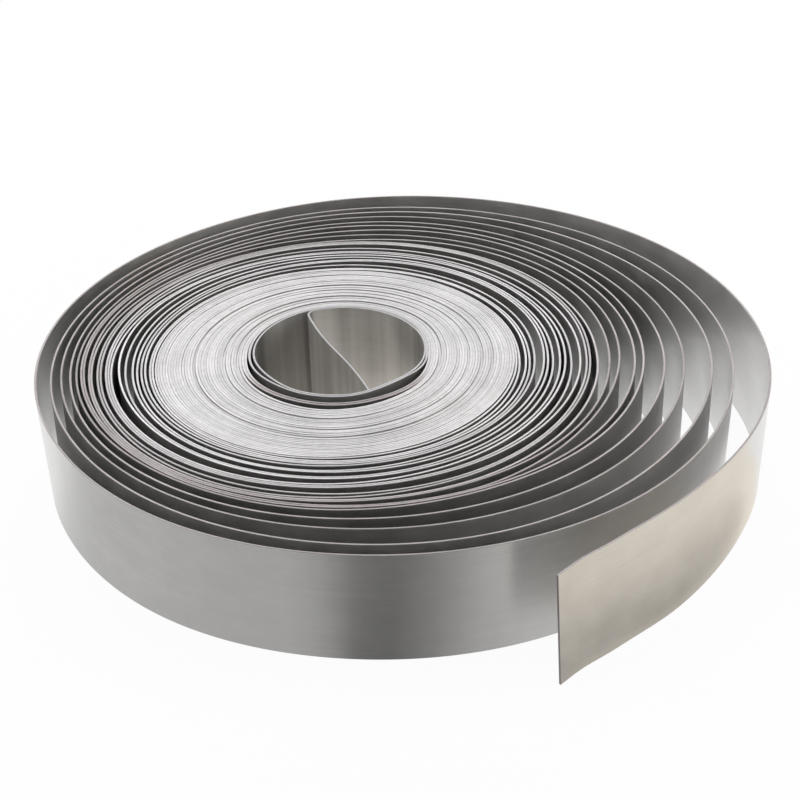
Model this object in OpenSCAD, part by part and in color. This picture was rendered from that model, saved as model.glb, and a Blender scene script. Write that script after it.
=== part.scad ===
// Coil of galvanized steel strip lying flat: a tight pack of turns round an open bore,
// looser turns that spread towards one side, a free outer end that stands off the coil
// and an inner end that crosses the bore.
// Seen from above, the strip runs clockwise on its way out.

/* [Strip] */
// Width of the strip, which is the height of the coil
strip_width = 50; // [20:1:100]
// Thickness of the strip
strip_thickness = 0.9; // [0.5:0.1:1.3]

/* [Tight pack] */
// Radius of the open bore's rounded front and back
bore_radius = 38; // [38:0.5:50]
// Length of the bore's straight sides
bore_stretch = 9; // [4:1:16]
// Distance from the pack's axis back to the bore's middle
bore_shift = 2; // [1:0.5:4]
// Number of turns wound tight
tight_turns = 34; // [10:1:50]
// Mean gap between two tight turns
tight_gap = 0.02; // [0:0.01:0.3]
// Number of tight turns that lie together as one bunch
bunch_turns = 2; // [2:1:6]
// Width of the groove between two bunches on the pack's ends
groove_width = 0.4; // [0.2:0.1:0.6]
// Depth of that groove
groove_depth = 0.8; // [0.3:0.1:2]

/* [Loose turns] */
// Number of inner loose turns, which spread evenly
even_turns = 15; // [4:1:20]
// Air between two even turns on the right
right_gap = 1.8; // [1.2:0.1:3]
// Air between two even turns at the front
front_gap = 0.7; // [0.6:0.1:2]
// Air between two even turns on the left
left_gap = 0.9; // [0.6:0.1:2]
// Air between two even turns at the back
back_gap = 1.4; // [0.8:0.1:3]
// Spread of the outer loose turns, as a factor on the air between them
outer_spread = 1; // [0.8:0.05:1.5]

/* [Outer end] */
// Radius of the outer end's bend past the right side
end_radius = 134; // [120:1:180]
// Angle of that bend
end_bend = 50; // [30:1:60]
// Length of the straight stretch that follows
end_straight = 56; // [20:1:70]
// Radius of the lip at the tip
lip_radius = 35; // [15:1:60]
// Angle through which the lip turns outward
lip_bend = 25; // [5:1:40]
// Distance by which the cut's lower corner is set back
cut_set_back = 3; // [0:0.5:8]

/* [Inner end] */
// Radius of the innermost loop
loop_radius = 37.2; // [33:0.2:37.4]
// Radius of the hook where the inner end leaves the loop
hook_radius = 4; // [2:0.5:6]
// Angle on the loop where the hook leaves it
hook_angle = 108; // [100:1:120]
// Angle through which the hook turns
hook_bend = 90; // [80:1:100]
// Radius of the two bows of the inner end's slight S across the bore
tail_radius = 220; // [150:10:400]
// Angle of the first bow
tail_bend = 10; // [4:1:12]

/* [Hidden] */
$fn = 96;

// Air between neighbouring outer loose turns, from the inside out, on each side
outer_right_gaps = [3.6, 5.6, 3.1, 7.1, 6.6, 11.1, 7.6, 14.6];
outer_front_gaps = [0.6, 2.4, 3.6, 1.2, 5.3, 4.6, 9.6, 4.6, 19.5];
outer_left_gaps = [0.85, 2.1, 0.6, 0.6, 1.1, 3.6, 2.6, 6.1];
outer_back_gaps = [1.65, 3.6, 5.1, 2.6, 4.1, 3.6, 3.1, 12.9];

half_thickness = strip_thickness / 2;
tight_pitch = strip_thickness + tight_gap;
bore_back = bore_shift + bore_stretch / 2 + bore_radius;
pack_radius = bore_back + tight_turns * tight_pitch;
bunch_pitch = bunch_turns * tight_pitch;
groove_count = ceil(tight_turns / bunch_turns) - 1;
loop_shift = bore_back - loop_radius;
loose_turns = even_turns + len(outer_right_gaps);
last_extreme = 4 * loose_turns;
band_steps = 8;
end_steps = 20;
trim = 1;

// The strip's middle line is followed through its extreme points, four in a turn.
// Extreme j lies on the right, front, left or back for j mod 4 of 0, 1, 2 or 3.
function to_hundredth(v) = round(100 * v) / 100;
function sum_to(list, count) = count <= 0 ? 0 : list[count - 1] + sum_to(list, count - 1);
function even_gap(side) = [right_gap, front_gap, left_gap, back_gap][side];
function outer_gaps(side) = [outer_right_gaps, outer_front_gaps, outer_left_gaps, outer_back_gaps][side];
function side_reach(side, steps) =
    let (even = min(steps, even_turns), outer = steps - even)
    pack_radius + half_thickness - strip_thickness
    + steps * strip_thickness
    + even * even_gap(side)
    + outer_spread * sum_to(outer_gaps(side), outer);
function extent(j) = to_hundredth(
    j == 0 ? pack_radius - strip_thickness : side_reach(j % 4, ceil((j + 1) / 4) - (j % 4 == 0 ? 1 : 0)));
function sideways(j) = j == 0 ? 0 : to_hundredth((extent(j - 1) - extent(j + 1)) / 2);

// A path is a list of points with the heading at each one.
function bend_path(p, heading, radius, turn, steps) =
    let (side = sign(turn) * radius)
    [for (i = [0 : steps])
        let (a = heading + turn * i / steps)
        [p[0] + side * (sin(a) - sin(heading)), p[1] + side * (cos(heading) - cos(a)), a]];
function go(p, length) = [p[0] + length * cos(p[2]), p[1] + length * sin(p[2]), p[2]];
function last(list) = list[len(list) - 1];
function beside(path, distance) =
    [for (p = path) [p[0] - distance * sin(p[2]), p[1] + distance * cos(p[2])]];
function reversed(list) = [for (i = [len(list) - 1 : -1 : 0]) list[i]];

// The outer end bends past the right side, runs straight and turns out in a lip.
end_start = [extent(last_extreme), sideways(last_extreme)];
end_bend_path = bend_path(end_start, -90, end_radius, -end_bend, end_steps);
lip_start = go(last(end_bend_path), end_straight);
lip_path = bend_path(lip_start, lip_start[2], lip_radius, lip_bend, band_steps);
tip = last(lip_path);
end_path = concat(end_bend_path, lip_path, [go(tip, trim)]);

// The inner end leaves the loop in a hook, bows one way and then the other, and meets the loop's far wall.
hook_start = [loop_radius * cos(hook_angle), loop_shift + loop_radius * sin(hook_angle)];
hook_path = bend_path(hook_start, hook_angle + 90, hook_radius, hook_bend, band_steps);
first_bow = bend_path(last(hook_path), last(hook_path)[2], tail_radius, tail_bend, band_steps);
bow_end = last(first_bow);
function reach_across(heading) =
    let (q = [bow_end[0], bow_end[1] - loop_shift], e = [cos(heading), sin(heading)], along = q * e)
    -along + sqrt(along * along - q * q + loop_radius * loop_radius);
function second_bend(rounds) = rounds == 0 ? 0 :
    2 * asin(reach_across(bow_end[2] - second_bend(rounds - 1) / 2) / (2 * tail_radius));
second_bow = bend_path(bow_end, bow_end[2], tail_radius, -second_bend(5), band_steps);

// The footprint's middle is the origin.
right_reach = extent(last_extreme) + half_thickness;
left_reach = extent(last_extreme - 2) + half_thickness;
back_reach = extent(last_extreme - 1) + half_thickness;
front_reach = -tip[1] - half_thickness * cos(tip[2]);
middle = [to_hundredth((right_reach - left_reach) / 2), to_hundredth((back_reach - front_reach) / 2)];

function groove_radius(i) = bore_back + i * bunch_pitch;
function groove_points(z, depth) = [
    for (i = [1 : groove_count], side = [-1, 1], inside = side < 0 ? [0, 1] : [1, 0])
        [groove_radius(i) + side * groove_width / 2, z + inside * depth]
];

// Half section of the pack: a groove on both ends after each bunch of turns.
module pack_section() {
    inner = bore_radius - bore_shift - trim;
    lower = groove_points(0, groove_depth);
    upper = reversed(groove_points(strip_width, -groove_depth));
    polygon(concat(
        [[inner, 0]], lower, [[pack_radius, 0], [pack_radius, strip_width]], upper, [[inner, strip_width]]
    ));
}

module tight_pack() {
    difference() {
        rotate_extrude() pack_section();
        bore();
    }
}

module bore() {
    translate([0, bore_shift, -trim]) {
        for (side = [-1, 1])
            translate([0, side * bore_stretch / 2, 0]) cylinder(r = bore_radius, h = strip_width + 2 * trim);
        translate([-bore_radius, -bore_stretch / 2, 0]) cube([2 * bore_radius, bore_stretch, strip_width + 2 * trim]);
    }
}

module innermost_loop() {
    translate([0, loop_shift, 0]) rotate_extrude()
        translate([loop_radius - half_thickness, 0]) square([strip_thickness, strip_width]);
}

// Quarter of a turn from extreme j to the next: a quarter circle, and a straight run
// beside it where the turn is longer than it is wide.
module quarter_turn(j) {
    across = extent(j) - sideways(j + 1);
    ahead = extent(j + 1) + sideways(j);
    radius = min(across, ahead);
    rotate([0, 0, -90 * j]) {
        translate([extent(j) - radius, radius - extent(j + 1), 0])
            rotate([0, 0, -90])
            rotate_extrude(angle = 90)
            translate([radius - half_thickness, 0])
            square([strip_thickness, strip_width]);
        if (ahead > radius)
            translate([extent(j) - half_thickness, radius - extent(j + 1), 0])
                cube([strip_thickness, ahead - radius, strip_width]);
        if (across > radius)
            translate([sideways(j + 1), -extent(j + 1) - half_thickness, 0])
                cube([across - radius, strip_thickness, strip_width]);
    }
}

module loose_coil() {
    for (j = [0 : last_extreme - 1]) quarter_turn(j);
}

module band(path) {
    linear_extrude(height = strip_width)
        polygon(concat(beside(path, half_thickness), reversed(beside(path, -half_thickness))));
}

// The cut at the tip leans back towards its lower corner.
module end_cut() {
    lean = cut_set_back / strip_width;
    translate([tip[0], tip[1], 0]) rotate([0, 0, tip[2]]) rotate([90, 0, 0])
        linear_extrude(height = 4 * strip_thickness, center = true)
        polygon([[-cut_set_back - lean, -1], [2 * trim, -1], [2 * trim, strip_width + 1], [lean, strip_width + 1]]);
}

module outer_end() {
    difference() {
        band(end_path);
        end_cut();
    }
}

module inner_end() {
    band(concat(hook_path, first_bow, second_bow));
}

module steel_strip() {
    color("gainsboro") translate([-middle[0], -middle[1], 0]) {
        tight_pack();
        innermost_loop();
        inner_end();
        loose_coil();
        outer_end();
    }
}

steel_strip();
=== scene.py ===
"""Looks for a loose coil of galvanized steel strip that lies flat on a pale floor.

The strip is one long band. Its middle line is followed from the free outer end inwards, through the loose
turns and the tight turns, round the innermost loop and across the bore to the inner end. One section is
carried along that whole line.
"""
import math

import bpy
import numpy as np
from bpy.props import FloatProperty, FloatVectorProperty, IntProperty, PointerProperty
from mathutils import Matrix, Vector


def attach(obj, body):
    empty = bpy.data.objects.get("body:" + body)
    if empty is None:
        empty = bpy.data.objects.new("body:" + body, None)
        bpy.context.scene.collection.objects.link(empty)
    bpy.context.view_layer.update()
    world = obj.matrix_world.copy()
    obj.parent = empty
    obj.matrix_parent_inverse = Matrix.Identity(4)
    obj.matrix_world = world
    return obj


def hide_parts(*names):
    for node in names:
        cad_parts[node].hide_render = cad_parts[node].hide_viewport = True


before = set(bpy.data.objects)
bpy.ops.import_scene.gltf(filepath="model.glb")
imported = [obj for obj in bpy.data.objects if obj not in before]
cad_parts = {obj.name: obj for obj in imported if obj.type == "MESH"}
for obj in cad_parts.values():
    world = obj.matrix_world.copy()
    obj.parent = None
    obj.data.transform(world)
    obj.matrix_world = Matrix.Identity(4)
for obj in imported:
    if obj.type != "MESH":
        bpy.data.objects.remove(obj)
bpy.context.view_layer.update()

bl_info = {
    "name": "Coiled steel strip",
    "version": (1, 0, 0),
    "blender": (4, 5, 0),
    "location": "3D View > Sidebar > Steel strip",
    "description": "Winds a loose coil of galvanized strip and sets it on a pale floor",
    "category": "Object",
}

MM = 0.001

# Measures of the coil

# Distances are in mm and angles in degrees. The tables give the distance from the pack's axis to the strip's
# middle line at every ANGLE_STEP, from the right side and against the clock, which is the way inwards.

# Where the tight pack's axis stands, in metres
PACK_AXIS = (-0.02763, -0.00041)
ANGLE_STEP = 30
# Angle between two knots of the strip's line
KNOT_STEP = 10

# The free end by its own angles, and its knots: how many, and the last one's angle
FREE_END = {-62.5: 174.0, -60.5: 171.9, -54.0: 169.5, -49.0: 169.1, -43.9: 170.0, -38.5: 171.3,
            -30.0: 174.2, -21.8: 177.4, -10.0: 180.6}
FREE_END_KNOTS = (15, -4)
# One row for each outer loose turn
OUTER_TURNS = (
    (181.6, 177.4, 164.6, 151.0, 138.9, 131.4, 127.0, 126.0, 130.3, 138.0, 150.4, 161.8),
    (166.3, 162.3, 150.9, 139.2, 129.4, 123.3, 120.3, 119.8, 123.6, 131.7, 143.0, 151.9),
    (157.8, 153.8, 145.0, 134.7, 125.5, 119.6, 116.2, 114.6, 116.4, 122.3, 131.9, 141.2),
    (146.2, 144.4, 138.6, 130.1, 121.5, 115.9, 112.4, 110.9, 112.0, 116.3, 123.9, 132.9),
    (138.1, 136.3, 131.9, 124.9, 117.2, 112.6, 109.9, 107.5, 107.3, 110.7, 115.6, 124.1),
    (129.7, 130.9, 127.3, 121.2, 114.0, 110.4, 107.9, 105.5, 106.0, 108.9, 114.2, 121.4),
    (125.9, 126.4, 123.4, 116.3, 111.6, 109.4, 106.9, 104.5, 105.0, 107.9, 113.2, 115.3),
    (119.6, 121.0, 117.5, 111.8, 108.4, 107.0, 104.5, 103.5, 103.8, 105.2, 108.7, 112.9),
    (115.2, 116.5, 113.3, 107.1, 104.9, 104.6, 103.5, 102.4, 102.8, 104.2, 107.7, 109.6),
)
# Air outside each inner loose turn
INNER_AIR = (
    (4.1, 6.2, 4.7, 0.1, 0.1, 1.3, 1.9, 1.3, 0.1, 0.1, 3.0, 3.2),
    (2.1, 0.8, 0.1, 0.5, 0.5, 0.1, 0.5, 0.1, 2.2, 1.7, 0.1, 0.1),
    (0.7, 0.1, 0.1, 0.1, 0.1, 1.6, 1.2, 1.7, 1.9, 3.6, 4.2, 2.8),
    (1.2, 3.2, 4.3, 3.3, 2.3, 0.4, 0.1, 0.1, 0.1, 0.1, 0.1, 0.8),
    (3.6, 3.0, 2.5, 2.5, 2.3, 1.5, 0.1, 0.1, 0.1, 0.1, 1.6, 3.3),
    (1.0, 1.7, 0.8, 0.1, 0.2, 0.1, 2.1, 4.2, 3.6, 2.9, 1.8, 0.1),
    (1.9, 0.1, 0.4, 1.8, 0.6, 2.5, 2.3, 0.1, 0.1, 0.1, 0.4, 1.9),
    (1.9, 3.2, 2.5, 0.9, 3.0, 2.4, 2.2, 2.0, 2.3, 2.5, 1.8, 1.6),
    (1.2, 0.2, 0.1, 2.0, 1.7, 1.7, 1.0, 0.6, 0.1, 0.1, 1.6, 1.3),
    (0.7, 0.1, 0.1, 0.1, 0.1, 1.1, 0.7, 1.3, 1.7, 2.5, 1.6, 1.9),
    (3.3, 4.1, 4.8, 2.7, 1.9, 0.3, 0.7, 0.7, 1.1, 0.4, 0.1, 0.1),
    (1.4, 2.2, 1.8, 3.1, 2.4, 2.0, 1.2, 0.9, 0.1, 0.1, 0.7, 1.0),
    (0.6, 0.1, 0.1, 0.1, 0.1, 0.1, 0.1, 0.3, 0.3, 0.1, 0.1, 1.2),
    (2.0, 2.1, 1.7, 0.5, 0.2, 0.5, 0.5, 0.2, 0.1, 1.1, 1.2, 1.1),
    (0.1, 0.1, 0.1, 0.1, 0.3, 0.0, 0.1, 0.1, 0.3, 0.2, 0.9, 0.8),
)
LOOSE_TURNS = len(OUTER_TURNS) + len(INNER_AIR) - 1
# Least air between two outer turns, and the air that is added to the whole table of the inner ones. Where
# they meet the pack, this share of the last row's first air is left.
LEAST_AIR = 0.03
ADDED_AIR = 0.02
LAST_AIR_SHARE = 0.4
# Weights by which the inner turns' air is evened out along the strip
AIR_BLUR = np.array([1, 2, 3, 2, 1]) / 9

# The pack's innermost turn
PACK_MOUTH = (38.2, 41.4, 43.6, 44.0, 42.4, 39.5, 36.9, 36.9, 37.1, 37.9, 37.4, 37.9)
# Wander of the tight turns' spacing: its share of a turn, the angle between two draws, its seed and the angle
# over which it sets in
SPACING_WANDER, SPACING_STEP, SPACING_SEED, SPACING_START = 0.03, 110, 11, 90
# Stretches of the tight turns, counted inwards, whose upper edge stands low: start, end and depth, and half
# the length of the slope at either end, in turns
LOW_TURNS = ((3.2, 3.6, 0.2), (8.9, 9.6, 0.25), (12.5, 13.7, 0.5), (17.7, 18.3, 0.35), (20.9, 21.3, 0.2),
             (24.1, 24.8, 0.35), (26.2, 26.5, 0.3), (28.9, 29.7, 0.4))
LOW_SLOPE = 0.12
# Share of the distance between two tight turns that the strip and its burrs fill, how far inside the pack's
# mouth this starts, and the distance over which it is reached
TIGHT_FILL, FILL_START, FILL_REACH = 0.97, 0.3, 0.5

# Where the two tight turns before the last stand clear of the pack, and where the innermost loop is pressed
# in: the angle of each dent's middle, half its length and its depth
CLEAR_TURNS = ((262, 82, 2.9),)
LOOP_DENTS = ((316, 40, 1.9), (208, 38, 1.0))
# Angles over which the last tight turn comes to the loop and leaves it, and the air between them there
HUG_START, HUG_END, HUG_AIR = (140, 240), (330, 370), 0.05
# Angles over which the strip goes from the pack's mouth to the loop
LOOP_START = (60, 170)
# The innermost loop's centre from the pack's axis, the angle on it where the hook starts, and the arcs that
# follow, each with its radius and the angle by which it turns left, both negative where it turns right.
# Each arc is drawn in this many steps.
LOOP_CENTRE = (1.1, 6.45)
HOOK_ANGLE = 108
INNER_END = ((4.0, 88), (160.0, 12), (-220.0, -9.1))
ARC_STEPS = 14

# Angle between two rings of points on the outer loose turns, and on the rest
OUTER_RING_STEP, INNER_RING_STEP = 1.5, 2.0
# Outward lean of the lower edge over the free end and over the outermost turn that follows it, and the runs
# from the outer tip in metres over which one changes to the other and the second dies out
END_LEAN, TURN_LEAN = 2.1, -1.4
LEAN_CHANGE, LEAN_FADE = (0.055, 0.135), (1.06, 1.2)
# Run from the outer tip in metres over which the cut's slant dies out
CUT_RUN = 0.02
# Stagger of the turns' edges: the run between two draws and its seed
STAGGER_STEP, STAGGER_SEED = 180, 23
# Angle between two faces from which their edge is drawn sharp
SHARP_ANGLE = 30
# Runs from the outer tip in metres over which the loose turns' dull edges give way to the pack's
EDGE_CHANGE = (5.5, 11.2)

# Measures of the stage

# Distance from the floor's middle to its sides and its depth under the coil, in metres
FLOOR_REACH, FLOOR_DROP = 6.0, 0.0002
# Share of the floor that the view, gloss and glass see as a white sheet
FLOOR_GLOW = 0.95

# Strength of the world's light. The view and gloss see it as white near the horizon, and overhead this share
# of the way from its own strength to white, between these heights of the ray's direction.
SKY_LIGHT = 0.4
SKY_SHARE = 0.0
SKY_FROM, SKY_TO = 0.3, 0.75

WHITE = (1, 1, 1)
# Name, place and size in metres, strength in watts and colour of each soft lamp. All face the coil's middle.
LAMPS = (
    ("overhead", (0, 0.5, 1.6), (1.6, 1.2), 8, WHITE),
    ("behind", (0, 1.6, 0.75), (2.6, 1.0), 14, WHITE),
    ("left", (-1.3, 0.2, 1.1), (1.0, 1.0), 4.8, WHITE),
    ("right", (1.5, 0.0, 0.9), (1.0, 1.0), 7, (1.0, 0.94, 0.86)),
)

# The studio's cards, which only gloss sees: a centre, corners in mm, four to a sheet, and the card's tone
# against the angle in degrees round that centre, counted from the front towards the right, and for some
# against the distance from it in mm. The front of the outermost turn shows the front card as its dark band,
# and the free end shows the warm card. The back card and the bore's card keep the floor dim behind the coil
# and inside the bore, where the inner end parts a darker left half from the right.
CARDS = {
    "card_front": dict(
        centre=(-10, -73),
        corners=((-2500, 900, 0.1), (105, -90, 0.1), (1300, -1300, 0.1), (-2500, -1300, 0.1),
                 (-2500, -1300, 0), (1300, -1300, 0), (1300, -1300, 1600), (-2500, -1300, 1600)),
        angles=((-120, 1.0), (-109, 0.96), (-101, 0.74), (-94, 0.65), (-88, 0.62), (-76, 0.62), (-64, 0.6),
                (-55, 0.58), (-44, 0.57), (-33, 0.56), (-27, 0.53), (-22, 0.49), (-16, 0.37), (-10, 0.22),
                (-3.6, 0.18), (2.7, 0.18), (9, 0.24), (15.3, 0.3), (22, 0.41), (28, 0.52), (34.5, 0.6),
                (42, 0.7), (50, 0.76), (70, 0.85)),
        reaches=None,
        tint=WHITE),
    "card_back": dict(
        centre=(0, 0),
        corners=((-2500, 900, 0.1), (-150, 20, 0.1), (150, 100, 0.1), (2500, 900, 0.1),
                 (-2500, 900, 0.1), (2500, 900, 0.1), (2500, 2500, 0.1), (-2500, 2500, 0.1)),
        angles=((-180, 0.6), (-158, 0.5), (-146, 0.26), (-136, 0.24), (-124, 0.55), (-105, 0.85),
                (105, 0.85), (122, 0.6), (140, 0.45), (158, 0.62), (180, 0.6)),
        reaches=((70, 1.0), (125, 0.5)),
        tint=WHITE),
    "card_bore": dict(
        centre=(-27, 3),
        corners=((-70, -40, 0.1), (15, -40, 0.1), (15, 46, 0.1), (-70, 46, 0.1)),
        angles=((-180, 0.74), (-168, 0.72), (-156, 0.52), (15, 0.52), (32, 0.74), (180, 0.74)),
        reaches=None,
        tint=(1, 0.95, 0.87)),
    "card_warm": dict(
        centre=(-75, 59),
        corners=((54, -157, 0.2), (420, -700, 0.2), (1400, -150, 0.2), (165, -20, 0.2)),
        angles=((40, 0.5), (46, 0.5), (52, 0.56), (57, 0.62), (62, 0.72), (67, 1.0)),
        reaches=((240, 0.9), (246, 0.74), (252, 0.5), (261, 0.48), (274, 0.68), (284, 0.88), (300, 1.0)),
        tint=(1, 0.93, 0.82)),
}

# The view: how far it looks down and rolls, its place in metres and its lens in mm on a sensor of that width
VIEW_ELEVATION, VIEW_ROLL = 32.23, -1.52
VIEW_PLACE = (-0.00133, -0.68282, 0.45788)
VIEW_LENS, VIEW_SENSOR = 84.48, 36.0
VIEW_NEAR, VIEW_FAR = 0.01, 50


class StripSizes(bpy.types.PropertyGroup):
    width: FloatProperty(
        name="Strip width", description="Height of the coil",
        default=0.0498, min=0.02, max=0.1, unit="LENGTH")
    thickness: FloatProperty(
        name="Strip thickness", description="Thickness of the sheet",
        default=0.0009, min=0.0004, max=0.0013, unit="LENGTH")
    edge_round: FloatProperty(
        name="Edge rounding", description="Width of the broken corner on the slit edges",
        default=0.00012, min=0.00002, max=0.0003, unit="LENGTH")
    tight_turns: IntProperty(
        name="Tight turns", description="Turns wound almost without air",
        default=34, min=10, max=40)
    pack_radius: FloatProperty(
        name="Pack radius", description="Radius of the tight pack",
        default=0.0759, min=0.06, max=0.078, unit="LENGTH")
    edge_stagger: FloatProperty(
        name="Edge stagger", description="Most by which one turn's edge stands higher than another's",
        default=0.0002, min=0.0, max=0.001, unit="LENGTH")
    loop_radius: FloatProperty(
        name="Innermost loop", description="Radius of the innermost loop",
        default=0.0366, min=0.03, max=0.037, unit="LENGTH")
    cut_set_back: FloatProperty(
        name="Cut set back", description="Distance by which the outer cut's lower corner is set back",
        default=0.0007, min=0.0, max=0.008, unit="LENGTH")


class StripColours(bpy.types.PropertyGroup):
    zinc: FloatVectorProperty(
        name="Zinc", description="Colour of the coated faces",
        subtype="COLOR", size=3, default=(0.62, 0.612, 0.6), min=0.0, max=1.0)
    slit_edge: FloatVectorProperty(
        name="Slit edge", description="Colour of the bare slit edges",
        subtype="COLOR", size=3, default=(0.55, 0.54, 0.545), min=0.0, max=1.0)
    # Also painted shade: the same colour darkens the tight turns' edges that stand clear in front of the bore
    loose_and_shaded_edge: FloatVectorProperty(
        name="Loose edge", description="Colour of the loose turns' slit edges",
        subtype="COLOR", size=3, default=(0.36, 0.33, 0.33), min=0.0, max=1.0)
    floor: FloatVectorProperty(
        name="Floor", description="Colour of the floor",
        subtype="COLOR", size=3, default=(0.93, 0.93, 0.93), min=0.0, max=1.0)


# Curves

def spline(x, y, at):
    """Natural cubic spline through the points (x, y): its second derivatives solve the three-banded
    system that makes the slopes meet at every point."""
    h = np.diff(x)
    n = len(x)
    system = np.zeros((n, n))
    right = np.zeros(n)
    system[0, 0] = system[-1, -1] = 1
    i = np.arange(1, n - 1)
    system[i, i - 1] = h[:-1]
    system[i, i] = 2 * (h[:-1] + h[1:])
    system[i, i + 1] = h[1:]
    right[1:-1] = 6 * (np.diff(y)[1:] / h[1:] - np.diff(y)[:-1] / h[:-1])
    m = np.linalg.solve(system, right)
    k = np.clip(np.searchsorted(x, at) - 1, 0, n - 2)
    a, b = (x[k + 1] - at) / h[k], (at - x[k]) / h[k]
    return a * y[k] + b * y[k + 1] + ((a ** 3 - a) * m[k] + (b ** 3 - b) * m[k + 1]) * h[k] ** 2 / 6


def ring(values, angle):
    """Smooth closed curve through values spaced evenly round a circle: their Fourier sum at each angle."""
    waves = np.fft.rfft(values) / len(values)
    order = np.arange(len(waves))
    weight = np.where((order == 0) | (order == len(values) // 2), 1.0, 2.0)
    turn = np.exp(1j * np.outer(np.radians(np.atleast_1d(angle)), order))
    return np.real(turn @ (weight * waves))


def wander(at, step, seed):
    """Smooth random walk: seeded normal values at every step, joined by half cosine waves."""
    draws = np.random.default_rng(seed).normal(size=int(at.max() / step) + 3)
    k = np.floor(at / step).astype(int)
    t = at / step - k
    blend = (1 - np.cos(np.pi * t)) / 2
    return draws[k] * (1 - blend) + draws[k + 1] * blend


def smooth_step(at, start, end):
    """Zero up to start, one from end on, and a smooth cubic between them."""
    t = np.clip((at - start) / (end - start), 0, 1)
    return t * t * (3 - 2 * t)


def dents(angle, spots):
    """Depth of some dents at each angle: each is a squared cosine round its middle."""
    return sum(depth * np.cos(np.clip((angle - middle) / half, -1, 1) * np.pi / 2) ** 2
               for middle, half, depth in spots)


def directions(angle):
    """Unit vectors in plan at some angles."""
    return np.stack([np.cos(np.radians(angle)), np.sin(np.radians(angle))], axis=-1)


def arc(start, heading, radius, turn):
    """Points on a circular arc that starts at start with the given heading and turns left through turn."""
    a = heading + turn * np.arange(ARC_STEPS + 1) / ARC_STEPS
    return np.stack([start[0] + radius * (np.sin(a) - math.sin(heading)),
                     start[1] + radius * (math.cos(heading) - np.cos(a))], axis=1)


# Line of the strip

def outer_line(thickness):
    """Angles and distances of the free end and the outer loose turns: a spline through their tables. A turn
    that would come closer to the one outside it than one thickness and the least air is moved inwards."""
    count = len(OUTER_TURNS)
    ends = np.array(sorted(FREE_END))
    angles = np.concatenate([ends, np.arange(0, 360 * count + 1, ANGLE_STEP)])
    radii = np.concatenate([[FREE_END[a] for a in ends], np.ravel(OUTER_TURNS),
                            [OUTER_TURNS[-1][0] - INNER_AIR[0][0] - thickness]])
    knots, last = FREE_END_KNOTS
    s = np.concatenate([np.linspace(ends[0], last, knots), np.arange(0, 360 * count, KNOT_STEP)])
    r = spline(angles, radii, s)
    turns = r[knots:].reshape(count, -1)
    inward = (thickness + LEAST_AIR) * np.arange(count)[:, None]
    turns[:] = np.minimum.accumulate(turns + inward, axis=0) - inward
    return s, r


def inner_radii(last_outer, first_tight, thickness):
    """Distances of the inner loose turns. Each lies inside its neighbour by one thickness and its air. The
    air is evened out along the strip, and scaled at each angle so that the last turn meets the pack."""
    count = len(INNER_AIR)
    places = ANGLE_STEP * np.arange(np.size(INNER_AIR) + 1)
    air = np.append(np.ravel(INNER_AIR), INNER_AIR[-1][0] * LAST_AIR_SHARE)
    air = np.interp(np.arange(0, 360 * count, KNOT_STEP), places, air) + ADDED_AIR
    air = np.convolve(np.pad(air, len(AIR_BLUR) // 2, mode="edge"), AIR_BLUR, mode="valid")
    air = air.reshape(count, -1)
    air *= (last_outer - first_tight - count * thickness) / air.sum(axis=0)
    return (last_outer - np.cumsum(air + thickness, axis=0))[:-1].ravel()


def tight_radii(angle, mouth, sizes):
    """Distances of the tight turns, which go from a circle to the mouth's shape in equal shares but for a
    slight wander. At the front the last one follows the innermost loop, and two more stand clear."""
    pack, count = sizes.pack_radius / MM, sizes.tight_turns
    s = np.arange(0, 360 * count, KNOT_STEP)
    sway = SPACING_WANDER * wander(s + 0.0, SPACING_STEP, SPACING_SEED) * np.clip(s / SPACING_START, 0, 1)
    r = pack - (pack - np.tile(mouth, count)) * (s / 360 + sway) / count
    r[-3 * len(angle):-len(angle)] -= np.tile(dents(angle, CLEAR_TURNS), 2)
    last = r[-len(angle):]
    hug = smooth_step(angle, *HUG_START) - smooth_step(angle, *HUG_END)
    last += (loop_radii(angle, sizes) + sizes.thickness / MM + HUG_AIR - last) * hug
    return r


def loop_radii(angle, sizes):
    """Distance from the pack's axis to the innermost loop: a circle off the axis, less its dents. Each way
    out, the circle is met at the centre's part along that way, plus the root of the radius squared less the
    centre's part across it squared."""
    u = directions(angle)
    off = LOOP_CENTRE[0] * u[:, 1] - LOOP_CENTRE[1] * u[:, 0]
    circle = u @ np.array(LOOP_CENTRE) + np.sqrt((sizes.loop_radius / MM) ** 2 - off ** 2)
    return circle - dents(angle, LOOP_DENTS)


def loop_line(sizes):
    """Angles and distances of the innermost loop, from the pack's mouth to the start of the hook."""
    hook = np.array(LOOP_CENTRE) + sizes.loop_radius / MM * directions(HOOK_ANGLE)
    last = 360 + math.degrees(math.atan2(hook[1], hook[0]))
    s = np.append(np.arange(0, last - KNOT_STEP / 2, KNOT_STEP), last)
    settle = smooth_step(s, *LOOP_START)
    return s, ring(PACK_MOUTH, s) * (1 - settle) + loop_radii(s, sizes) * settle


def coil_line(sizes):
    """Distance from the pack's axis to the strip's middle line against the angle followed inwards: the outer
    turns, the inner loose turns, the tight turns and the innermost loop."""
    thickness, pack = sizes.thickness / MM, sizes.pack_radius / MM
    angle = np.arange(0, 360, KNOT_STEP)
    mouth = ring(PACK_MOUTH, angle)
    first_tight = pack - (pack - mouth) * angle / 360 / sizes.tight_turns
    s_outer, r_outer = outer_line(thickness)
    r_inner = inner_radii(r_outer[-len(angle):], first_tight, thickness)
    r_tight = tight_radii(angle, mouth, sizes)
    s_loop, r_loop = loop_line(sizes)
    s_whole = np.arange(360 * len(OUTER_TURNS), 360 * (LOOSE_TURNS + sizes.tight_turns), KNOT_STEP)
    s = np.concatenate([s_outer, s_whole, 360 * (LOOSE_TURNS + sizes.tight_turns) + s_loop])
    return s, np.concatenate([r_outer, r_inner, r_tight, r_loop])


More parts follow.
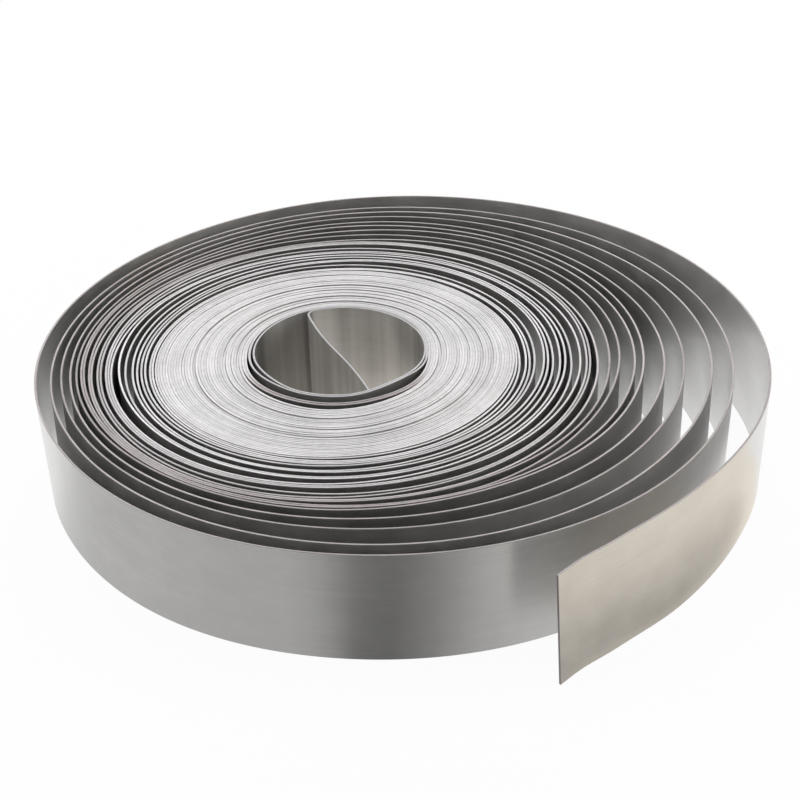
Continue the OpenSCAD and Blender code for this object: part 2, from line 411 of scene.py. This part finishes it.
def strip_line(sizes):
    """Middle line of the whole strip in plan, from the outer tip to the inner end, in metres: the distances
    carried round the axis, then the hook's arc and the inner end's slight S across the bore."""
    s, r = coil_line(sizes)
    outer_end = 360 * len(OUTER_TURNS)
    fine = np.concatenate([np.arange(s[0], outer_end, OUTER_RING_STEP),
                           np.arange(outer_end, s[-1], INNER_RING_STEP), [s[-1]]])
    parts = [spline(s, r, fine)[:, None] * directions(fine)]
    heading = math.radians(HOOK_ANGLE + 90)
    for radius, bend in INNER_END:
        parts.append(arc(parts[-1][-1], heading, radius, math.radians(bend))[1:])
        heading += math.radians(bend)
    return np.concatenate(parts) * MM + np.array(PACK_AXIS)


# Mesh of the strip

def low_turns(line):
    """Distance by which each point's upper edge stands low, which leaves a groove between the tight turns. A
    stretch comes and goes in smooth steps, and where two overlap the deeper one counts."""
    place = line - np.array(PACK_AXIS)
    turn = np.unwrap(np.arctan2(place[:, 1], place[:, 0])) / (2 * np.pi) - LOOSE_TURNS
    low = np.zeros(len(line))
    for first, last, depth in LOW_TURNS:
        stretch = (smooth_step(turn, first - LOW_SLOPE, first + LOW_SLOPE)
                   - smooth_step(turn, last - LOW_SLOPE, last + LOW_SLOPE))
        low = np.maximum(low, depth * MM * stretch)
    return low


def fill_factor(line, sizes):
    """Factor on the section's thickness at each point of the line. It is one outside the tight pack. Inside
    it the turns touch through their burrs, so the section fills almost all of the way to the next turn."""
    place = (line - np.array(PACK_AXIS)) / MM
    radius = np.hypot(place[:, 0], place[:, 1])
    mouth = ring(PACK_MOUTH, np.degrees(np.arctan2(place[:, 1], place[:, 0])))
    pack = sizes.pack_radius / MM
    pitch = (pack - mouth) / sizes.tight_turns
    inside = np.clip(np.minimum(radius - mouth + FILL_START, pack - radius) / FILL_REACH, 0, 1)
    return 1 + inside * (np.maximum(TIGHT_FILL * pitch / (sizes.thickness / MM), 1) - 1)


def edge_lean(run):
    """Outward lean of the lower edge, in metres, at each run from the outer tip. It goes in one smooth step
    from the free end's lean to the outermost turn's, and in another to nothing."""
    lean = END_LEAN + (TURN_LEAN - END_LEAN) * smooth_step(run, *LEAN_CHANGE)
    return (lean - TURN_LEAN * smooth_step(run, *LEAN_FADE)) * MM


def strip_points(line, run, across, height, sizes):
    """Grid of points, one ring of section corners for each point of the line, given the corners' distances
    across the sheet and heights. Each ring stands square to the line. Near the outer tip the points are
    drawn back in proportion to their distance from the upper edge, which gives the slanted cut. The lower
    edge leans, some turns' upper edges stand low, and a smooth random rise staggers the edges."""
    slope = np.gradient(line, run, axis=0)
    slope /= np.linalg.norm(slope, axis=1, keepdims=True)
    normal = np.stack([-slope[:, 1], slope[:, 0]], axis=1)
    below = 1 - height / sizes.width
    at = run[:, None] + sizes.cut_set_back * below * np.clip(1 - run[:, None] / CUT_RUN, 0, 1)
    out = fill_factor(line, sizes)[:, None] * across
    lean = edge_lean(run)[:, None] * below
    x, y = (np.interp(at, run, line[:, k]) + out * np.interp(at, run, normal[:, k])
            - lean * normal[:, k, None] for k in (0, 1))
    rise = sizes.edge_stagger * (0.5 + 0.5 * np.tanh(wander(run / MM, STAGGER_STEP, STAGGER_SEED)))
    z = height * (1 - low_turns(line)[:, None] / sizes.width) + rise[:, None]
    return np.stack([x, y, z], axis=2)


def strip_mesh(name, line, sizes):
    """The strip: a section of eight corners, thickness by width with broken corners, carried along the line.
    The map along the strip gives each face corner its run from the outer tip and its way round the
    section, both in metres."""
    run = np.concatenate([[0], np.cumsum(np.linalg.norm(np.diff(line, axis=0), axis=1))])
    half, c, w = sizes.thickness / 2, sizes.edge_round, sizes.width
    across = np.array([half, half, half - c, c - half, -half, -half, c - half, half - c])
    height = np.array([c, w - c, w, w, w - c, c, 0, 0])
    points = strip_points(line, run, across, height, sizes)

    rings, corners = points.shape[:2]
    index = np.arange(rings * corners).reshape(rings, corners)
    beside = np.roll(index, -1, axis=1)
    sides = np.stack([index[:-1], beside[:-1], beside[1:], index[1:]], axis=2).reshape(-1, 4)
    is_edge = np.array([0, 1, 1, 1, 0, 1, 1, 1])

    step = np.hypot(np.roll(across, -1) - across, np.roll(height, -1) - height)
    around = np.concatenate([[0], np.cumsum(step)])
    low, high, here, there = np.broadcast_arrays(around[:-1], around[1:], run[:-1, None], run[1:, None])
    side_uv = np.stack([here, low, here, high, there, high, there, low], axis=2).reshape(-1, 2)

    caps = np.array([[0, 5, 4, 1], [1, 4, 3, 2], [5, 0, 7, 6]])
    both = np.concatenate([caps, caps[:, ::-1]])
    cap_uv = np.stack([across[both.ravel()], height[both.ravel()]], axis=1)

    quads = np.concatenate([sides, index[0][caps], index[-1][caps[:, ::-1]]])
    material = np.concatenate([np.tile(is_edge, rings - 1), np.ones(len(both), int)])
    return make_object(name, points.reshape(-1, 3), quads, material, np.concatenate([side_uv, cap_uv]))


def make_object(name, points, quads, material_of_face, uv):
    """Mesh object from arrays of points, four-cornered faces, their material numbers and corner
    coordinates."""
    mesh = bpy.data.meshes.new(name)
    mesh.from_pydata(points, [], quads.tolist())
    mesh.polygons.foreach_set("material_index", material_of_face)
    mesh.uv_layers.new(name="strip").data.foreach_set("uv", uv.ravel())
    mesh.polygons.foreach_set("use_smooth", np.ones(len(quads), bool))
    mesh.update()
    mesh.set_sharp_from_angle(angle=math.radians(SHARP_ANGLE))
    item = bpy.data.objects.new(name, mesh)
    bpy.context.scene.collection.objects.link(item)
    return item


# Shader nodes

# Distance between two places of the node editor's grid
NODE_GRID = 180
# Range of a noise texture's values that is spread over a tone, and the texture's roughness
NOISE_LOW, NOISE_HIGH, NOISE_ROUGHNESS = 0.3, 0.7, 0.6
# Places of the two colours and the result among a colour mix's sockets, which have their names more than once
MIX_FIRST, MIX_SECOND, MIX_RESULT = 6, 7, 2


def node(tree, kind, place, **values):
    """Adds a shader node at its place on the grid, and sets its properties and input sockets by name."""
    item = tree.nodes.new(kind)
    item.location = (place[0] * NODE_GRID, place[1] * NODE_GRID)
    for name, value in values.items():
        if hasattr(item, name):
            setattr(item, name, value)
        else:
            item.inputs[name.replace("_", " ")].default_value = value
    return item


def plain_material(name):
    """Empty node material with its Principled shader and output."""
    material = bpy.data.materials.new(name)
    material.use_nodes = True
    tree = material.node_tree
    tree.nodes.clear()
    shader = node(tree, "ShaderNodeBsdfPrincipled", (5, 0))
    output = node(tree, "ShaderNodeOutputMaterial", (7, 0))
    tree.links.new(shader.outputs["BSDF"], output.inputs["Surface"])
    return material, tree, shader


def empty_group(name, vectors, numbers, outputs):
    """Shader node group with the inputs named as vectors and as numbers, its outputs and two end nodes."""
    tree = bpy.data.node_groups.new(name, "ShaderNodeTree")
    for labels, way, kind in ((vectors, "INPUT", "Vector"), (numbers, "INPUT", "Float"),
                              (outputs, "OUTPUT", "Float")):
        for label in labels:
            tree.interface.new_socket(label, in_out=way, socket_type="NodeSocket" + kind)
    return tree, node(tree, "NodeGroupInput", (-6, 0)).outputs, node(tree, "NodeGroupOutput", (2, 0)).inputs


def drift_group():
    """Node group for a tone that drifts along the strip: noise with so many waves to the metre along it and
    across it, spread from low to high."""
    tree, given, result = empty_group("strip_drift", ["Waves"], ["Detail", "Low", "High"], ["Tone"])
    link = tree.links.new
    run = node(tree, "ShaderNodeUVMap", (-6, 2), uv_map="strip")
    stretch = node(tree, "ShaderNodeMapping", (-4, 1))
    link(run.outputs["UV"], stretch.inputs["Vector"])
    link(given["Waves"], stretch.inputs["Scale"])
    noise = node(tree, "ShaderNodeTexNoise", (-2, 1), Scale=1.0, Roughness=NOISE_ROUGHNESS)
    link(stretch.outputs["Vector"], noise.inputs["Vector"])
    link(given["Detail"], noise.inputs["Detail"])
    tone = node(tree, "ShaderNodeMapRange", (0, 0), From_Min=NOISE_LOW, From_Max=NOISE_HIGH)
    link(noise.outputs["Fac"], tone.inputs["Value"])
    link(given["Low"], tone.inputs["To Min"])
    link(given["High"], tone.inputs["To Max"])
    link(tone.outputs["Result"], result["Tone"])
    return tree


def ramp_group():
    """Node group for a share that goes smoothly from low to high between two places along the strip, in
    metres from its outer tip."""
    tree, given, result = empty_group("strip_ramp", [], ["Start", "End", "Low", "High"], ["Share"])
    link = tree.links.new
    run = node(tree, "ShaderNodeUVMap", (-6, 2), uv_map="strip")
    parts = node(tree, "ShaderNodeSeparateXYZ", (-4, 1))
    link(run.outputs["UV"], parts.inputs[0])
    share = node(tree, "ShaderNodeMapRange", (0, 0), interpolation_type="SMOOTHSTEP")
    link(parts.outputs["X"], share.inputs["Value"])
    for name, socket in (("Start", "From Min"), ("End", "From Max"), ("Low", "To Min"), ("High", "To Max")):
        link(given[name], share.inputs[socket])
    link(share.outputs["Result"], result["Share"])
    return tree


def bearing_group():
    """Node group for a point's bearing in plan from a centre: the angle round it in radians, counted from the
    front towards the right, and the distance from it in metres."""
    tree, given, result = empty_group("card_bearing", ["Centre"], [], ["Angle", "Reach"])
    link = tree.links.new
    place = node(tree, "ShaderNodeTexCoord", (-6, 2))
    shift = node(tree, "ShaderNodeVectorMath", (-5, 1), operation="SUBTRACT")
    link(place.outputs["Object"], shift.inputs[0])
    link(given["Centre"], shift.inputs[1])
    parts = node(tree, "ShaderNodeSeparateXYZ", (-4, 1))
    link(shift.outputs[0], parts.inputs[0])
    front = node(tree, "ShaderNodeMath", (-3, 0), operation="MULTIPLY")
    front.inputs[1].default_value = -1
    link(parts.outputs["Y"], front.inputs[0])
    angle = node(tree, "ShaderNodeMath", (-2, 1), operation="ARCTAN2")
    link(parts.outputs["X"], angle.inputs[0])
    link(front.outputs[0], angle.inputs[1])
    link(angle.outputs[0], result["Angle"])
    reach = node(tree, "ShaderNodeVectorMath", (-2, -1), operation="LENGTH")
    link(shift.outputs[0], reach.inputs[0])
    link(reach.outputs["Value"], result["Reach"])
    return tree


def drift(tree, place, waves, detail, low, high):
    """Socket with a tone that drifts along the strip."""
    group = bpy.data.node_groups.get("strip_drift") or drift_group()
    item = node(tree, "ShaderNodeGroup", place, node_tree=group, Waves=waves, Detail=detail,
                Low=low, High=high)
    return item.outputs["Tone"]


def ramp(tree, place, start, end, low, high):
    """Socket that goes from low to high between two places along the strip."""
    group = bpy.data.node_groups.get("strip_ramp") or ramp_group()
    item = node(tree, "ShaderNodeGroup", place, node_tree=group, Start=start, End=end, Low=low, High=high)
    return item.outputs["Share"]


def patches(tree, place, scale, detail, low, high):
    """Socket with a tone in soft patches, with so many to the metre."""
    spot = node(tree, "ShaderNodeTexCoord", place)
    noise = node(tree, "ShaderNodeTexNoise", (place[0] + 1, place[1]), Scale=scale, Detail=detail,
                 Roughness=NOISE_ROUGHNESS)
    tree.links.new(spot.outputs["Object"], noise.inputs["Vector"])
    tone = node(tree, "ShaderNodeMapRange", (place[0] + 2, place[1]), From_Min=NOISE_LOW,
                From_Max=NOISE_HIGH, To_Min=low, To_Max=high)
    tree.links.new(noise.outputs["Fac"], tone.inputs["Value"])
    return tone.outputs["Result"]


def product(tree, place, sockets):
    """Socket with the product of some sockets."""
    first = sockets[0]
    for k, other in enumerate(sockets[1:]):
        step = node(tree, "ShaderNodeMath", (place[0] + k, place[1]), operation="MULTIPLY")
        tree.links.new(first, step.inputs[0])
        tree.links.new(other, step.inputs[1])
        first = step.outputs[0]
    return first


def tinted(tree, place, colour, tone):
    """Socket with a colour times a tone."""
    item = node(tree, "ShaderNodeVectorMath", place, operation="SCALE")
    item.inputs[0].default_value = colour
    tree.links.new(tone, item.inputs["Scale"])
    return item.outputs[0]


def rolled_metal(tree, place, shader, metallic, anisotropic):
    """Metal whose grain runs along the strip, so that light spreads across it."""
    shader.inputs["Metallic"].default_value = metallic
    shader.inputs["Anisotropic"].default_value = anisotropic
    shader.inputs["Anisotropic Rotation"].default_value = 0.25
    tangent = node(tree, "ShaderNodeTangent", place, direction_type="UV_MAP", uv_map="strip")
    tree.links.new(tangent.outputs["Tangent"], shader.inputs["Tangent"])


# Materials

def zinc_face(colours, length):
    """Coated face: rolling grain along the strip, cloudy zinc, and faint cross bands that are plain to see
    only on the inner end and the innermost loop. Its colour is darkened from the outermost turn inwards as
    painted shade between the turns, and lifted again in the bore as painted light."""
    material, tree, shader = plain_material("galvanized_face")
    grain = drift(tree, (-8, 2), waves=(12, 2600, 1), detail=3.0, low=0.94, high=1.05)
    cloud = drift(tree, (-8, 0), waves=(60, 90, 1), detail=4.0, low=0.95, high=1.04)
    bands = drift(tree, (-8, -2), waves=(95, 1.5, 1), detail=2.0, low=-1.0, high=1.0)
    depth = ramp(tree, (-8, -4), start=length - 0.42, end=length - 0.3, low=0.015, high=0.24)
    streak = node(tree, "ShaderNodeMath", (-2, -3), operation="ADD")
    streak.inputs[1].default_value = 1.0
    tree.links.new(product(tree, (-3, -3), [bands, depth]), streak.inputs[0])
    # Painted shade: the colour darkens from the outermost turn inwards, where the turns lie between others
    inward = ramp(tree, (-8, -8), start=1.2, end=4.0, low=1.0, high=0.76)
    # Painted light: the colour is lifted again in the bore, undoing that painted shade
    bore = ramp(tree, (-8, -10), start=length - 0.7, end=length - 0.4, low=1.0, high=1.32)
    tone = product(tree, (-1, 0), [grain, cloud, streak.outputs[0], inward, bore])
    tree.links.new(tinted(tree, (3, 0), colours.zinc, tone), shader.inputs["Base Color"])
    rough = drift(tree, (-8, -6), waves=(60, 90, 1), detail=4.0, low=0.28, high=0.36)
    tree.links.new(rough, shader.inputs["Roughness"])
    rolled_metal(tree, (3, -4), shader, metallic=0.95, anisotropic=0.72)
    shader.inputs["Coat Weight"].default_value = 0.8
    shader.inputs["Coat Roughness"].default_value = 0.25
    return material


def slit_edge(colours, length):
    """Slit edge: bright bare steel, finely torn, whose tone drifts along the strip. The loose turns' edges
    are duller and redder than the pack's. The turns that stand clear at the bore's front take the same
    duller, redder colour as painted shade."""
    material, tree, shader = plain_material("slit_edge")
    torn = drift(tree, (-8, 2), waves=(2.6, 0, 1), detail=8.0, low=0.76, high=1.18)
    slow = drift(tree, (-8, 0), waves=(0.8, 0, 1), detail=1.0, low=0.86, high=1.08)
    inner = ramp(tree, (-8, -2), start=length - 0.52, end=length - 0.45, low=1.0, high=0.74)
    smears = patches(tree, (-8, -8), scale=45, detail=3.0, low=0.9, high=1.09)
    specks = patches(tree, (-8, -10), scale=420, detail=2.0, low=0.93, high=1.06)
    tone = product(tree, (-3, 0), [torn, slow, inner, smears, specks])
    tight = ramp(tree, (-8, -4), start=EDGE_CHANGE[0], end=EDGE_CHANGE[1], low=0.0, high=1.0)
    # Painted shade on the turns standing clear in front of the bore comes in through the second share
    share = product(tree, (-1, -5), [tight, unshaded_share(tree, length)])
    both = node(tree, "ShaderNodeMix", (2, -3), data_type="RGBA")
    tree.links.new(share, both.inputs["Factor"])
    tree.links.new(tinted(tree, (1, -2), colours.loose_and_shaded_edge, tone), both.inputs[MIX_FIRST])
    tree.links.new(tinted(tree, (1, -4), colours.slit_edge, tone), both.inputs[MIX_SECOND])
    tree.links.new(both.outputs[MIX_RESULT], shader.inputs["Base Color"])
    rolled_metal(tree, (3, -4), shader, metallic=0.8, anisotropic=0.12)
    shader.inputs["Roughness"].default_value = 0.5
    return material


def unshaded_share(tree, length):
    """Socket that is zero on the turns that stand clear of the pack, in front of the bore, and one on the
    rest of the strip. Where it is zero, the edges take the duller colour as painted shade."""
    place = node(tree, "ShaderNodeTexCoord", (-8, -16))
    parts = node(tree, "ShaderNodeSeparateXYZ", (-7, -16))
    tree.links.new(place.outputs["Object"], parts.inputs[0])
    front = node(tree, "ShaderNodeMapRange", (-6, -16), From_Min=-0.01, From_Max=-0.022)
    tree.links.new(parts.outputs["Y"], front.inputs["Value"])
    starts = ramp(tree, (-8, -12), start=length - 1.02, end=length - 0.98, low=0.0, high=1.0)
    ends = ramp(tree, (-8, -14), start=length - 0.65, end=length - 0.62, low=1.0, high=0.0)
    rest = node(tree, "ShaderNodeMath", (-2, -12), operation="SUBTRACT")
    rest.inputs[0].default_value = 1.0
    tree.links.new(product(tree, (-5, -12), [starts, ends, front.outputs["Result"]]), rest.inputs[1])
    return rest.outputs[0]


# Stage

def backdrop(name, corners):
    """Flat sheets that are part of the stage, four corners in metres to each."""
    mesh = bpy.data.meshes.new(name)
    mesh.from_pydata(corners, [], np.arange(len(corners)).reshape(-1, 4).tolist())
    sheet = bpy.data.objects.new(name, mesh)
    bpy.context.scene.collection.objects.link(sheet)
    return sheet


def seen_rays(tree):
    """Socket that is one for rays of the view, of gloss and of glass, and zero for the rest."""
    path = node(tree, "ShaderNodeLightPath", (-4, 2))
    first = node(tree, "ShaderNodeMath", (-3, 2), operation="MAXIMUM")
    tree.links.new(path.outputs["Is Camera Ray"], first.inputs[0])
    tree.links.new(path.outputs["Is Glossy Ray"], first.inputs[1])
    second = node(tree, "ShaderNodeMath", (-2, 2), operation="MAXIMUM")
    tree.links.new(first.outputs[0], second.inputs[0])
    tree.links.new(path.outputs["Is Transmission Ray"], second.inputs[1])
    return second.outputs[0]


def lay_floor(colours):
    """Flat floor sheet under the coil. The view, gloss and glass see it as a white sheet lit from below,
    mixed with its own colour so that the coil's shadow stays on it."""
    floor = backdrop("floor", [(x * FLOOR_REACH, y * FLOOR_REACH, -FLOOR_DROP)
                               for x, y in ((-1, -1), (1, -1), (1, 1), (-1, 1))])
    material, tree, shader = plain_material("pale_floor")
    shader.inputs["Base Color"].default_value = (*colours.floor, 1)
    shader.inputs["Roughness"].default_value = 0.7
    share = node(tree, "ShaderNodeMath", (0, 2), operation="MULTIPLY")
    share.inputs[1].default_value = FLOOR_GLOW
    tree.links.new(seen_rays(tree), share.inputs[0])
    glow = node(tree, "ShaderNodeEmission", (2, 2), Color=(*WHITE, 1), Strength=1.0)
    mix = node(tree, "ShaderNodeMixShader", (6, 2))
    tree.links.new(share.outputs[0], mix.inputs[0])
    tree.links.new(shader.outputs["BSDF"], mix.inputs[1])
    tree.links.new(glow.outputs[0], mix.inputs[2])
    output = next(n for n in tree.nodes if n.type == "OUTPUT_MATERIAL")
    tree.links.new(mix.outputs[0], output.inputs["Surface"])
    floor.data.materials.append(material)


def card_ramp(tree, place, measure, unit, tones):
    """Socket with the tone at a measure, read from pairs of the measure and its tone."""
    first, last = tones[0][0], tones[-1][0]
    share = node(tree, "ShaderNodeMapRange", place, From_Min=first * unit, From_Max=last * unit)
    tree.links.new(measure, share.inputs["Value"])
    table = node(tree, "ShaderNodeValToRGB", (place[0] + 1, place[1]))
    stops = table.color_ramp.elements
    for at, tone in tones[1:-1]:
        stops.new((at - first) / (last - first)).color = (tone, tone, tone, 1)
    stops[0].color = (*[tones[0][1]] * 3, 1)
    stops[-1].color = (*[tones[-1][1]] * 3, 1)
    tree.links.new(share.outputs["Result"], table.inputs["Fac"])
    return table.outputs["Color"]


def card(name, centre, corners, angles, reaches, tint):
    """Card of the studio, which only the metal's gloss sees. Its tone follows the angle round the centre.
    Where reaches are given, it is twice the product of that tone and the tone at the distance from the
    centre, and one at most."""
    sheet = backdrop(name, [[c * MM for c in corner] for corner in corners])
    sheet.visible_camera = sheet.visible_diffuse = sheet.visible_shadow = sheet.visible_transmission = False
    material, tree, shader = plain_material(name)
    link = tree.links.new
    group = bpy.data.node_groups.get("card_bearing") or bearing_group()
    bearing = node(tree, "ShaderNodeGroup", (-5, 0), node_tree=group,
                   Centre=(centre[0] * MM, centre[1] * MM, 0))
    tone = card_ramp(tree, (-3, 0), bearing.outputs["Angle"], math.radians(1), angles)
    if reaches:
        double = node(tree, "ShaderNodeMath", (-1, -2), operation="MULTIPLY")
        double.inputs[1].default_value = 2
        link(card_ramp(tree, (-3, -2), bearing.outputs["Reach"], MM, reaches), double.inputs[0])
        both = node(tree, "ShaderNodeMath", (0, 0), operation="MULTIPLY", use_clamp=True)
        link(tone, both.inputs[0])
        link(double.outputs[0], both.inputs[1])
        tone = both.outputs[0]
    shader.inputs["Base Color"].default_value = (0, 0, 0, 1)
    shader.inputs["Specular IOR Level"].default_value = 0
    shader.inputs["Emission Color"].default_value = (*tint, 1)
    link(tone, shader.inputs["Emission Strength"])
    sheet.data.materials.append(material)


def area_lamp(name, place, size, strength, colour):
    """Soft rectangular lamp that faces the coil's middle."""
    lamp = bpy.data.lights.new(name, "AREA")
    lamp.shape = "RECTANGLE"
    lamp.size, lamp.size_y = size
    lamp.energy = strength
    lamp.color = colour
    item = bpy.data.objects.new(name, lamp)
    bpy.context.scene.collection.objects.link(item)
    item.location = place
    item.rotation_euler = (-Vector(place)).to_track_quat("-Z", "Y").to_euler()


def light_studio(scene):
    """Even pale world, dim overhead to gloss, and four soft lamps."""
    world = bpy.data.worlds.new("studio")
    scene.world = world
    world.use_nodes = True
    tree = world.node_tree
    tree.nodes.clear()
    sky = node(tree, "ShaderNodeTexCoord", (-8, -1))
    parts = node(tree, "ShaderNodeSeparateXYZ", (-7, -1))
    tree.links.new(sky.outputs["Generated"], parts.inputs[0])
    low = node(tree, "ShaderNodeMapRange", (-6, -1), interpolation_type="SMOOTHSTEP", From_Min=SKY_FROM,
               From_Max=SKY_TO, To_Min=1.0, To_Max=SKY_SHARE)
    tree.links.new(parts.outputs["Z"], low.inputs["Value"])
    level = node(tree, "ShaderNodeMapRange", (-1, 2), To_Min=SKY_LIGHT, To_Max=1.0)
    tree.links.new(product(tree, (-2, 0), [seen_rays(tree), low.outputs["Result"]]), level.inputs["Value"])
    light = node(tree, "ShaderNodeBackground", (0, 0), Color=(*WHITE, 1))
    tree.links.new(level.outputs["Result"], light.inputs["Strength"])
    output = node(tree, "ShaderNodeOutputWorld", (2, 0))
    tree.links.new(light.outputs["Background"], output.inputs["Surface"])
    for lamp in LAMPS:
        area_lamp(*lamp)


def set_camera(scene):
    """Camera at the photograph's viewing angle."""
    data = bpy.data.cameras.new("view")
    data.lens, data.sensor_width = VIEW_LENS, VIEW_SENSOR
    data.clip_start, data.clip_end = VIEW_NEAR, VIEW_FAR
    camera = bpy.data.objects.new("view", data)
    scene.collection.objects.link(camera)
    e, roll = math.radians(VIEW_ELEVATION), math.radians(VIEW_ROLL)
    right, up = Vector((1, 0, 0)), Vector((0, math.sin(e), math.cos(e)))
    ahead = Vector((0, math.cos(e), -math.sin(e)))
    x = math.cos(roll) * right + math.sin(roll) * up
    y = -math.sin(roll) * right + math.cos(roll) * up
    turn = Matrix((x, y, -ahead)).transposed()
    camera.matrix_world = Matrix.Translation(VIEW_PLACE) @ turn.to_4x4()
    scene.camera = camera
    scene.view_settings.view_transform = "Standard"


# Operators and panel

class STRIP_OT_wind(bpy.types.Operator):
    """Winds the strip from its free outer end to its inner end"""

    bl_idname = "steel_strip.wind"
    bl_label = "Wind the strip"

    def execute(self, context):
        sizes, colours = context.scene.strip_sizes, context.scene.strip_colours
        line = strip_line(sizes)
        coil = strip_mesh("strip_coil", line, sizes)
        length = float(np.linalg.norm(np.diff(line, axis=0), axis=1).sum())
        coil.data.materials.append(zinc_face(colours, length))
        coil.data.materials.append(slit_edge(colours, length))
        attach(coil, "root")
        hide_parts("steel_strip")
        return {"FINISHED"}


class STRIP_OT_stage(bpy.types.Operator):
    """Lays the pale floor, sets the cards, hangs the soft lamps and sets the camera"""

    bl_idname = "steel_strip.stage"
    bl_label = "Set the stage"

    def execute(self, context):
        scene = context.scene
        lay_floor(scene.strip_colours)
        for name, values in CARDS.items():
            card(name, **values)
        light_studio(scene)
        set_camera(scene)
        return {"FINISHED"}


class STRIP_PT_panel(bpy.types.Panel):
    """Sizes, colours and steps for the coiled strip"""

    bl_idname = "STRIP_PT_panel"
    bl_label = "Coiled steel strip"
    bl_space_type = "VIEW_3D"
    bl_region_type = "UI"
    bl_category = "Steel strip"

    def draw(self, context):
        for group in (context.scene.strip_sizes, context.scene.strip_colours):
            box = self.layout.box()
            for name in group.__annotations__:
                box.prop(group, name)
        self.layout.operator("steel_strip.wind")
        self.layout.operator("steel_strip.stage")


CLASSES = (StripSizes, StripColours, STRIP_OT_wind, STRIP_OT_stage, STRIP_PT_panel)


def register():
    for item in CLASSES:
        bpy.utils.register_class(item)
    bpy.types.Scene.strip_sizes = PointerProperty(type=StripSizes)
    bpy.types.Scene.strip_colours = PointerProperty(type=StripColours)


def unregister():
    del bpy.types.Scene.strip_sizes
    del bpy.types.Scene.strip_colours
    for item in reversed(CLASSES):
        bpy.utils.unregister_class(item)


def main():
    register()
    bpy.ops.steel_strip.wind()
    bpy.ops.steel_strip.stage()
    bpy.context.view_layer.update()


if __name__ == "__main__":
    main()
